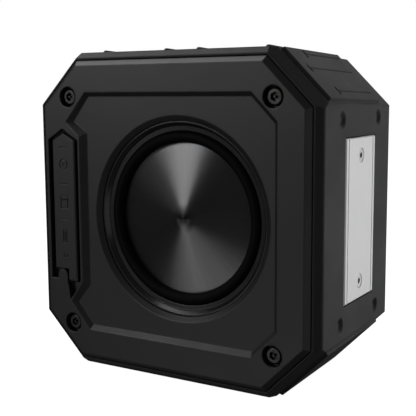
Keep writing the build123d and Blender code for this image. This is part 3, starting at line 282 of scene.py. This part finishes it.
# ---- bezels ----
# Injection-moulded frames of black glass-filled nylon, front and back, each held by four
# screws. Their grain is finer than the rubber's, and the ring round the disc is smoother.
bezel_plastic = rough_skin(
    "bezel_plastic", base=(0.0075, 0.0075, 0.0083), worn=(0.024, 0.024, 0.025), grain=0.00022, depth=0.00003,
    rough=0.42, dust=0.05, width=0.0006,
)
coat(bezel_plastic, "front_bezel", "rear_bezel")
ring_plastic = rough_skin(
    "ring_plastic", base=(0.0075, 0.0075, 0.0083), worn=(0.03, 0.03, 0.03), grain=0.00022, depth=0.00001,
    rough=0.26, dust=0.03, width=0.0003,
)
coat(ring_plastic, "radiator_frame")

# ---- chassis ----
# The stiff moulded tube inside the sleeve that everything is screwed to, with the panel
# behind the ports and the battery's tray. All three are the same plain black plastic.
chassis_plastic = rough_skin(
    "chassis_plastic", base=(0.016, 0.016, 0.017), worn=(0.03, 0.03, 0.03), grain=0.0003, depth=0.00003,
    rough=0.48, dust=0.05,
)
coat(chassis_plastic, "chassis", "port_panel", "battery_tray")

# ---- gaskets ----
# Closed-cell foam rings, cut from sheet. Two are pinched between the bezels and the
# chassis, and one lies under the driver's flange.
gasket_foam = rough_skin(
    "gasket_foam", base=(0.010, 0.010, 0.010), worn=(0.02, 0.02, 0.02), grain=0.0006, depth=0.0001,
    rough=0.8, dust=0.1,
)
coat(gasket_foam, "front_gasket", "rear_gasket", "driver_gasket")

# ---- screws ----
# Machine screws of blackened steel in the bezels' pockets, with a six-lobed drive and a
# centre pin, and turned steel ones in the side plates. Lathe rings show on their heads.
full_turn = 6.2832
disc_low, disc_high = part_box("radiator_disc")
axis_height = round((disc_low.z + disc_high.z) / 2, 4)
across_y = (1, 0, 1)
across_x = (0, 1, 1)

lathe_rings, given, out = effect("lathe_rings", [("Distance", 0.0), ("Pitch", 0.0001)], [("Rings", "Float")])
wound = maths(lathe_rings, "MULTIPLY", given["Distance"], full_turn)
rings = maths(lathe_rings, "SINE", maths(lathe_rings, "DIVIDE", wound, given["Pitch"]))
drift = cloudy(lathe_rings, own_place(lathe_rings), 1400.0, Detail=2.0)
faint_rings = maths(lathe_rings, "MULTIPLY", rings, 0.35)
lathe_rings.links.new(maths(lathe_rings, "ADD", faint_rings, drift), out["Rings"])


def distance_from(tree, centre, across, fold=(0, 0, 0)):
    """Distance from a turned piece's axis; across is 1 along the two directions square to it.

    fold mirrors the places of like screws into one."""
    moved = vector_maths(tree, "SUBTRACT", own_place(tree), centre)
    mirrored = vector_maths(tree, "ABSOLUTE", moved) if any(fold) else moved
    local = vector_maths(tree, "SUBTRACT", mirrored, fold)
    return vector_maths(tree, "LENGTH", vector_maths(tree, "MULTIPLY", local, across), output="Value")


def turned_metal(name, base, tarnish, rough, pitch, centre, across, fold=(0, 0, 0)):
    """A turned metal finish with lathe rings about each axis."""
    made, tree, skin = finish_of(name, metallic=1.0)
    cut = use(tree, lathe_rings, Distance=distance_from(tree, centre, across, fold), Pitch=pitch)
    texture = use(tree, mould_grain, Grain=0.0005)
    rubbed = use(tree, edge_wear, Width=0.0002, Patchiness=0.4)
    shade = blend_colour(tree, texture["Patches"], base, tarnish)
    bright = [min(1.0, c * 1.8 + 0.03) for c in base]
    tree.links.new(blend_colour(tree, rubbed["Worn"], shade, bright), skin["Base Color"])
    tree.links.new(spread(tree, cut["Rings"], rough - 0.05, rough + 0.12), skin["Roughness"])
    emboss(tree, skin, cut["Rings"], depth=0.00002, strength=0.5, Normal=rubbed["Soft Normal"])
    return made


bezel_screw_reach = 0.0398
bezel_screw_steel = turned_metal(
    "bezel_screw_steel", base=(0.045, 0.045, 0.047), tarnish=(0.07, 0.066, 0.062), rough=0.34, pitch=0.00025,
    centre=(0, 0, axis_height), across=across_y, fold=(bezel_screw_reach, 0, bezel_screw_reach),
)
coat(bezel_screw_steel, "front_bezel_screws", "rear_bezel_screws")
plate_screw_y = 0.0015
plate_screw_reach = 0.0207
plate_screw_steel = turned_metal(
    "plate_screw_steel", base=(0.55, 0.55, 0.56), tarnish=(0.42, 0.42, 0.42), rough=0.30, pitch=0.00022,
    centre=(0, plate_screw_y, axis_height), across=across_x, fold=(0, 0, plate_screw_reach),
)
coat(plate_screw_steel, "side_plate_screws")

# ---- side plates ----
# Sheet aluminium, brushed along its length, with bevelled edges cut bright after brushing
# and a fine groove near each long edge. Two screws hold each one.
brushed_lines, given, out = effect(
    "brushed_lines", [("Along", 12.0), ("Across", 5000.0)], [("Lines", "Float")]
)
stretch = place(
    brushed_lines, "ShaderNodeCombineXYZ", {0: given["Across"], 1: given["Across"], 2: given["Along"]}
)
drawn = vector_maths(brushed_lines, "MULTIPLY", own_place(brushed_lines), stretch.outputs[0])
brushed_lines.links.new(cloudy(brushed_lines, drawn, 1.0, Detail=4.0, Roughness=0.7), out["Lines"])

plate_aluminium, tree, skin = finish_of("plate_aluminium", metallic=1.0, Anisotropic=0.5)
lines = use(tree, brushed_lines, Along=14.0, Across=4200.0)["Lines"]
rubbed = use(tree, edge_wear, Width=0.00025, Patchiness=0.1)
texture = use(tree, mould_grain, Grain=0.002)
shade = blend_colour(tree, lines, (0.58, 0.58, 0.585), (0.74, 0.74, 0.745))
shade = blend_colour(tree, maths(tree, "MULTIPLY", texture["Patches"], 0.35), shade, (0.60, 0.60, 0.60))
tree.links.new(blend_colour(tree, rubbed["Worn"], shade, (0.92, 0.92, 0.92)), skin["Base Color"])
tree.links.new(spread(tree, lines, low=0.34, high=0.52), skin["Roughness"])
emboss(tree, skin, lines, depth=0.00001, strength=0.5)
coat(plate_aluminium, "side_plate_right", "side_plate_left")

# ---- port cover ----
# A softer rubber flap with a finer, slicker skin than the sleeve's. It presses into the
# window over the ports and swings down on the neck at its foot.
cover_rubber = rough_skin(
    "cover_rubber", base=(0.0075, 0.0075, 0.0077), worn=(0.05, 0.05, 0.05), grain=0.0002, depth=0.00005,
    rough=0.44, dust=0.10, width=0.00035,
)
coat(cover_rubber, "port_cover")


# ---- ports and small electric parts ----
# Drawn steel shells, tin plated, and moulded black blocks. The sockets are soldered to the
# main board and look out through the stiff panel behind the cover.
def plated(name, base, rough, scratch):
    """Plated sheet steel: cloudy tone, faint scratches, bright edges."""
    made, tree, skin = finish_of(name, metallic=1.0)
    texture = use(tree, mould_grain, Grain=0.0015)
    rubbed = use(tree, edge_wear, Width=0.00015, Patchiness=0.3)
    lines = use(tree, brushed_lines, Along=300.0, Across=1800.0)["Lines"]
    shade = blend_colour(tree, texture["Patches"], base, [c * 0.8 for c in base])
    tree.links.new(blend_colour(tree, rubbed["Worn"], shade, (0.9, 0.9, 0.9)), skin["Base Color"])
    scratched = maths(tree, "MULTIPLY", lines, texture["Patches"])
    tree.links.new(spread(tree, scratched, rough, rough + scratch), skin["Roughness"])
    emboss(tree, skin, lines, depth=0.00001, strength=0.3)
    return made


tin_plate = plated("tin_plate", base=(0.62, 0.61, 0.58), rough=0.26, scratch=0.25)
coat(tin_plate, "usb_socket", "card_socket", "microphone", "board_capacitors")
moulded_black = rough_skin(
    "moulded_black", base=(0.012, 0.012, 0.012), worn=(0.03, 0.03, 0.03), grain=0.00015, depth=0.00002,
    rough=0.4, dust=0.05, width=0.0002,
)
coat(moulded_black, "audio_jack", "reset_plunger", "reset_switch", "driver_terminals", "key_switches")


# ---- main board and key board ----
# Glass-filled boards under green lacquer, with copper tracks showing as a lighter green and
# tinned pads among them. The radio module's steel can and the amplifier sit on the main one.
def lacquered_board(name, flat):
    """Board lacquer over tracks in steps, with scattered pads; flat is 1 along the board."""
    made, tree, skin = finish_of(name, Coat_Roughness=0.12)
    level = vector_maths(tree, "MULTIPLY", own_place(tree), flat)
    cells = place(
        tree, "ShaderNodeTexVoronoi", {"Vector": level, "Scale": 420.0, "Randomness": 0.7},
        distance="CHEBYCHEV",
    )
    tracks = place(
        tree, "ShaderNodeTexVoronoi", {"Vector": level, "Scale": 260.0, "Randomness": 0.5},
        distance="MANHATTAN", feature="F2",
    )
    steps = maths(tree, "PINGPONG", tracks.outputs["Distance"], 0.12)
    track = place(tree, "ShaderNodeMapRange", {"Value": steps, "From Min": 0.05, "From Max": 0.07}).outputs[0]
    pad = maths(tree, "LESS_THAN", cells.outputs["Distance"], 0.10)
    shade = blend_colour(tree, track, (0.008, 0.055, 0.028), (0.014, 0.10, 0.045))
    tree.links.new(blend_colour(tree, pad, shade, (0.70, 0.68, 0.62)), skin["Base Color"])
    tree.links.new(spread(tree, pad, low=0.32, high=0.24), skin["Roughness"])
    tree.links.new(pad, skin["Metallic"])
    emboss(tree, skin, maths(tree, "ADD", track, pad), depth=0.00004, strength=0.7)
    return made


coat(lacquered_board("main_board_lacquer", (0, 1, 1)), "main_board")
coat(lacquered_board("key_board_lacquer", (1, 1, 0)), "key_board")
screening_can = plated("screening_can", base=(0.55, 0.55, 0.54), rough=0.3, scratch=0.2)
coat(screening_can, "bluetooth_module", "board_screws", "key_board_screws")

chip_resin, tree, skin = finish_of("chip_resin")
texture = use(tree, mould_grain, Grain=0.00012)
shade = blend_colour(tree, texture["Height"], (0.014, 0.014, 0.015), (0.03, 0.03, 0.032))
tree.links.new(shade, skin["Base Color"])
tree.links.new(spread(tree, texture["Patches"], low=0.42, high=0.6), skin["Roughness"])
emboss(tree, skin, texture["Height"], depth=0.00001, strength=0.6)
coat(chip_resin, "amplifier_chip")

# ---- magnets and coils ----
# The driver's magnet is sintered ferrite, ground flat and left grey. The power coil on the
# main board is pressed iron powder with the same dull face.
ferrite, tree, skin = finish_of("ferrite", metallic=0.4)
texture = use(tree, mould_grain, Grain=0.0003)
rubbed = use(tree, edge_wear, Width=0.0006, Patchiness=0.8)
shade = blend_colour(tree, texture["Height"], (0.028, 0.029, 0.031), (0.055, 0.055, 0.058))
tree.links.new(blend_colour(tree, rubbed["Worn"], shade, (0.12, 0.12, 0.125)), skin["Base Color"])
tree.links.new(spread(tree, texture["Patches"], low=0.45, high=0.7), skin["Roughness"])
emboss(tree, skin, texture["Height"], depth=0.00004, strength=0.6)
coat(ferrite, "driver_magnet", "power_coil")

# ---- battery ----
# Two round lithium cells in shrink wrap that wrinkles a little, bare steel at one end. They
# lie across the speaker in their moulded tray.
shrink_wrap, tree, skin = finish_of("shrink_wrap", Coat_Weight=0.4, Coat_Roughness=0.15)
spot = own_place(tree)
wrap_end = 0.0308
wrinkles = cloudy(tree, vector_maths(tree, "MULTIPLY", spot, (40, 420, 420)), 1.0, Detail=3.0)
along = place(tree, "ShaderNodeSeparateXYZ", {0: spot}).outputs["X"]
cap_end = maths(tree, "GREATER_THAN", along, wrap_end)
texture = use(tree, mould_grain, Grain=0.001)
shade = blend_colour(tree, texture["Patches"], (0.02, 0.10, 0.26), (0.025, 0.12, 0.30))
tree.links.new(blend_colour(tree, cap_end, shade, (0.65, 0.65, 0.66)), skin["Base Color"])
tree.links.new(cap_end, skin["Metallic"])
tree.links.new(spread(tree, wrinkles, low=0.25, high=0.42), skin["Roughness"])
emboss(tree, skin, wrinkles, depth=0.00008, strength=0.5)
coat(shrink_wrap, "battery_cell_upper", "battery_cell_lower")

# ---- passive radiator ----
# A spun disc of black anodised aluminium: the lathe's rings throw bright wedges of light
# out from its centre. A steel weight is fixed behind it and a rubber half roll carries it.
disc_x = (disc_low.x + disc_high.x) / 2
axis_point = (disc_x, 0.0, axis_height)
spun_metal, tree, skin = finish_of("spun_metal", metallic=1.0, Anisotropic=0.97, Anisotropic_Rotation=0.25)
far = distance_from(tree, axis_point, across_y)
cut = use(tree, lathe_rings, Distance=far, Pitch=0.0002)
from_axis = vector_maths(tree, "SUBTRACT", own_place(tree), axis_point)
around_axis = place(tree, "ShaderNodeSeparateXYZ", {0: from_axis}).outputs
angle = maths(tree, "ARCTAN2", around_axis["Z"], around_axis["X"])
turned = maths(tree, "MULTIPLY", angle, 26.0)
outward = maths(tree, "MULTIPLY", far, 60.0)
ray = place(tree, "ShaderNodeCombineXYZ", {0: turned, 1: outward}).outputs[0]
rays = cloudy(tree, ray, 1.0, Detail=4.0, Roughness=0.65)
shade = blend_colour(tree, rays, (0.085, 0.085, 0.087), (0.125, 0.125, 0.127))
# Painted shade: the base colour darkens from 5 mm in to 1 mm from the centre, hiding a bright spot near the
# apex. The hub is also rougher.
painted_dark_hub_radius = 0.0010
painted_dark_hub_edge = 0.0050
clear_of_painted_dark_hub = place(
    tree, "ShaderNodeMapRange", {"Value": far, "From Min": painted_dark_hub_radius, "From Max": painted_dark_hub_edge}
).outputs[0]
tree.links.new(blend_colour(tree, clear_of_painted_dark_hub, (0.035, 0.035, 0.036), shade), skin["Base Color"])
polish = spread(tree, rays, low=0.27, high=0.31)
tree.links.new(spread(tree, clear_of_painted_dark_hub, low=0.62, high=polish), skin["Roughness"])
spin = place(tree, "ShaderNodeTangent", direction_type="RADIAL", axis="Y")
tree.links.new(spin.outputs[0], skin["Tangent"])
emboss(tree, skin, cut["Rings"], depth=0.000004, strength=0.3)
coat(spun_metal, "radiator_disc")
weight_steel = turned_metal(
    "weight_steel", base=(0.5, 0.5, 0.5), tarnish=(0.4, 0.38, 0.36), rough=0.35, pitch=0.0004,
    centre=axis_point, across=across_y,
)
coat(weight_steel, "radiator_weight")
frame_screw_steel = plated("frame_screw_steel", base=(0.10, 0.10, 0.105), rough=0.3, scratch=0.2)
coat(frame_screw_steel, "radiator_screws", "driver_screws")

roll_rubber = rough_skin(
    "roll_rubber", base=(0.0012, 0.0012, 0.0012), worn=(0.002, 0.002, 0.002), grain=0.0006, depth=0.00002,
    rough=0.62, dust=0.0, width=0.0003, gloss=0.08,
)
roll_sectors = 16


def roll_arc(start, crest, end, steps):
    """Points of a circle's arc through three points (radius, depth)."""
    (x1, y1), (x2, y2), (x3, y3) = start, crest, end
    bend = 2 * (x1 * (y2 - y3) + x2 * (y3 - y1) + x3 * (y1 - y2))
    cx = ((x1**2 + y1**2) * (y2 - y3) + (x2**2 + y2**2) * (y3 - y1) + (x3**2 + y3**2) * (y1 - y2)) / bend
    cy = ((x1**2 + y1**2) * (x3 - x2) + (x2**2 + y2**2) * (x1 - x3) + (x3**2 + y3**2) * (x2 - x1)) / bend
    radius = math.hypot(x1 - cx, y1 - cy)
    angles = [math.atan2(y - cy, x - cx) for x, y in (start, crest, end)]
    for i in (1, 2):
        while angles[i] - angles[i - 1] > math.pi:
            angles[i] -= 2 * math.pi
        while angles[i] - angles[i - 1] < -math.pi:
            angles[i] += 2 * math.pi
    bearings = [angles[0] + (angles[2] - angles[0]) * i / steps for i in range(steps + 1)]
    return [(cx + radius * math.cos(a), cy + radius * math.sin(a)) for a in bearings]


def roll_sector(name, outline, x, number, finish):
    """One sector of a roll: its closed outline of (radius, y) turned through a share of the circle."""
    steps = 6
    share = 2 * math.pi / roll_sectors
    turns = [share * (number + i / steps) for i in range(steps + 1)]
    count = len(outline)
    points = [(x + r * math.cos(t), y, axis_height + r * math.sin(t)) for t in turns for r, y in outline]
    faces = []
    for i in range(0, steps * count, count):
        for j in range(count):
            following = (j + 1) % count
            faces.append((i + j, i + following, i + count + following, i + count + j))
    ends = [tuple(range(count - 1, -1, -1)), tuple(steps * count + j for j in range(count))]
    mesh = bpy.data.meshes.new(name)
    mesh.from_pydata(points, [], faces + ends)
    for i, face in enumerate(mesh.polygons):
        face.use_smooth = i < len(faces)
    rims = {frozenset((end[j], end[(j + 1) % count])) for end in ends for j in range(count)}
    for line in mesh.edges:
        line.use_edge_sharp = frozenset(line.vertices) in rims
    mesh.materials.append(finish)
    piece = bpy.data.objects.new(name, mesh)
    bpy.context.scene.collection.objects.link(piece)
    return piece


def carried_roll(label, stands_for, outline, x):
    """A whole roll, built as sectors round the axis, in place of a CAD piece that is hidden."""
    for number in range(roll_sectors):
        piece = roll_sector(f"{label}_{number + 1:02d}", outline, x, number, roll_rubber)
        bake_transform(piece)
        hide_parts(stands_for)


lip_front = disc_high.y + 0.0002
lip_back = disc_high.y + 0.0008
lip_radius = 0.0246
crest_radius = 0.0274
seat_front = -0.0270
seat_back = -0.0263
seat_radius = 0.0300
radiator_roll = (
    roll_arc((0.0258, lip_front), (crest_radius, -0.0285), (0.0290, seat_front), steps=14)
    + [(seat_radius, seat_front), (seat_radius, seat_back)]
    + roll_arc((0.0287, seat_back), (crest_radius, -0.0278), (0.0262, lip_back), steps=12)
    + [(lip_radius, lip_back), (lip_radius, lip_front)]
)
carried_roll(
    "radiator_roll", "radiator_surround", radiator_roll, disc_x
)

# ---- driver ----
# The loudspeaker on the chassis's baffle: pressed steel basket, turned steel yoke and top
# plate, paper cone with its dust cap, copper coil on the resin-dipped spider.
driver_axis = (0, 0, axis_height)
motor_steel = turned_metal(
    "motor_steel", base=(0.48, 0.47, 0.45), tarnish=(0.36, 0.35, 0.33), rough=0.34, pitch=0.0003,
    centre=driver_axis, across=across_y,
)
coat(motor_steel, "driver_yoke", "driver_top_plate")
powder_coat = rough_skin(
    "powder_coat", base=(0.012, 0.012, 0.012), worn=(0.09, 0.09, 0.09), grain=0.0005, depth=0.00003,
    rough=0.42, dust=0.12, width=0.00025,
)
coat(powder_coat, "driver_basket", "rear_grille")

cone_pulp, tree, skin = finish_of("cone_pulp", Sheen_Weight=0.2, Sheen_Roughness=0.6)
fibres = cloudy(tree, own_place(tree), 1500.0, Detail=5.0, Distortion=2.5)
cut = use(tree, lathe_rings, Distance=distance_from(tree, driver_axis, across_y), Pitch=0.0011)
tree.links.new(blend_colour(tree, fibres, (0.012, 0.012, 0.013), (0.04, 0.04, 0.042)), skin["Base Color"])
tree.links.new(spread(tree, fibres, low=0.6, high=0.85), skin["Roughness"])
relief = maths(tree, "ADD", maths(tree, "MULTIPLY", fibres, 0.6), maths(tree, "MULTIPLY", cut["Rings"], 0.5))
emboss(tree, skin, relief, depth=0.00006, strength=0.6)
coat(cone_pulp, "driver_cone", "driver_dust_cap")

enamelled_copper, tree, skin = finish_of(
    "enamelled_copper", metallic=1.0, Coat_Weight=0.5, Coat_Roughness=0.1
)
wire = 0.00022
depth = place(tree, "ShaderNodeSeparateXYZ", {0: own_place(tree)}).outputs["Y"]
turns = maths(tree, "SINE", maths(tree, "MULTIPLY", depth, full_turn / wire))
# Painted shade and painted highlight: the copper is darker in the grooves between the turns and lighter on
# their crowns, following the turns' bump.
shade = blend_colour(tree, spread(tree, turns, low=0.0, high=1.0), (0.28, 0.09, 0.035), (0.75, 0.33, 0.15))
tree.links.new(shade, skin["Base Color"])
texture = use(tree, mould_grain, Grain=0.0008)
tree.links.new(spread(tree, texture["Patches"], low=0.25, high=0.4), skin["Roughness"])
emboss(tree, skin, turns, depth=0.00004, strength=0.7)
coat(enamelled_copper, "voice_coil")

spider_cloth, tree, skin = finish_of("spider_cloth", Sheen_Weight=0.3, Sheen_Roughness=0.4)
thread = 0.0007
across = place(tree, "ShaderNodeSeparateXYZ", {0: own_place(tree)}).outputs
warp, weft = (maths(tree, "SINE", maths(tree, "MULTIPLY", across[way], full_turn / thread)) for way in "XZ")
weave = maths(tree, "MULTIPLY", maths(tree, "ADD", maths(tree, "MAXIMUM", warp, weft), 1.0), 0.5)
tree.links.new(blend_colour(tree, weave, (0.20, 0.13, 0.05), (0.55, 0.40, 0.18)), skin["Base Color"])
texture = use(tree, mould_grain, Grain=0.0008)
tree.links.new(spread(tree, texture["Patches"], low=0.55, high=0.75), skin["Roughness"])
emboss(tree, skin, weave, depth=0.0001, strength=0.7)
coat(spider_cloth, "driver_spider")

neck_radius = 0.0228
crest_radius = 0.0252
seat_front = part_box("driver_gasket")[1].y + 0.001
seat_back = seat_front + 0.0004
seat_radius = 0.0286
driver_roll = (
    roll_arc((neck_radius, 0.02645), (crest_radius, 0.0279), (0.0274, seat_front), steps=12)
    + [(seat_radius, seat_front), (seat_radius, seat_back), (0.0277, seat_back)]
    + roll_arc((0.0277, seat_front + 0.0005), (crest_radius, 0.0283), (neck_radius, 0.02685), steps=12)
)
carried_roll("driver_roll", "driver_surround", driver_roll, 0.0)

# ---- keys ----
# Five rubber caps let into the sleeve's top, their signs pressed in, over snap switches on
# a small board below. Their rubber is a little slicker than the sleeve's.
key_rubber = rough_skin(
    "key_rubber", base=(0.012, 0.012, 0.0125), worn=(0.035, 0.035, 0.035), grain=0.0003, depth=0.00005,
    rough=0.40, dust=0.10, width=0.0003,
)
coat(key_rubber, "power_key", "volume_down_key", "play_key", "volume_up_key", "pairing_key")

# ---- status light ----
# A rod of frosted acrylic in a hole through the sleeve's top, its end flush with the
# rubber. It leads light up from the key board.
frosted_acrylic, tree, skin = finish_of("frosted_acrylic", Transmission_Weight=0.6, IOR=1.49)
texture = use(tree, mould_grain, Grain=0.0003)
shade = blend_colour(tree, texture["Patches"], (0.72, 0.75, 0.78), (0.80, 0.82, 0.84))
tree.links.new(shade, skin["Base Color"])
tree.links.new(spread(tree, texture["Height"], low=0.35, high=0.6), skin["Roughness"])
coat(frosted_acrylic, "status_light_pipe")

# ---- inner leads ----
# Three leads of wire in a soft silicone jacket, soldered at both ends, for the battery, the
# driver and the key board.
lead_jacket = rough_skin(
    "lead_jacket", base=(0.20, 0.012, 0.010), worn=(0.25, 0.03, 0.03), grain=0.0003, depth=0.00002,
    rough=0.4, dust=0.05, width=0.0002,
)
coat(lead_jacket, "battery_lead", "driver_lead", "key_board_lead")
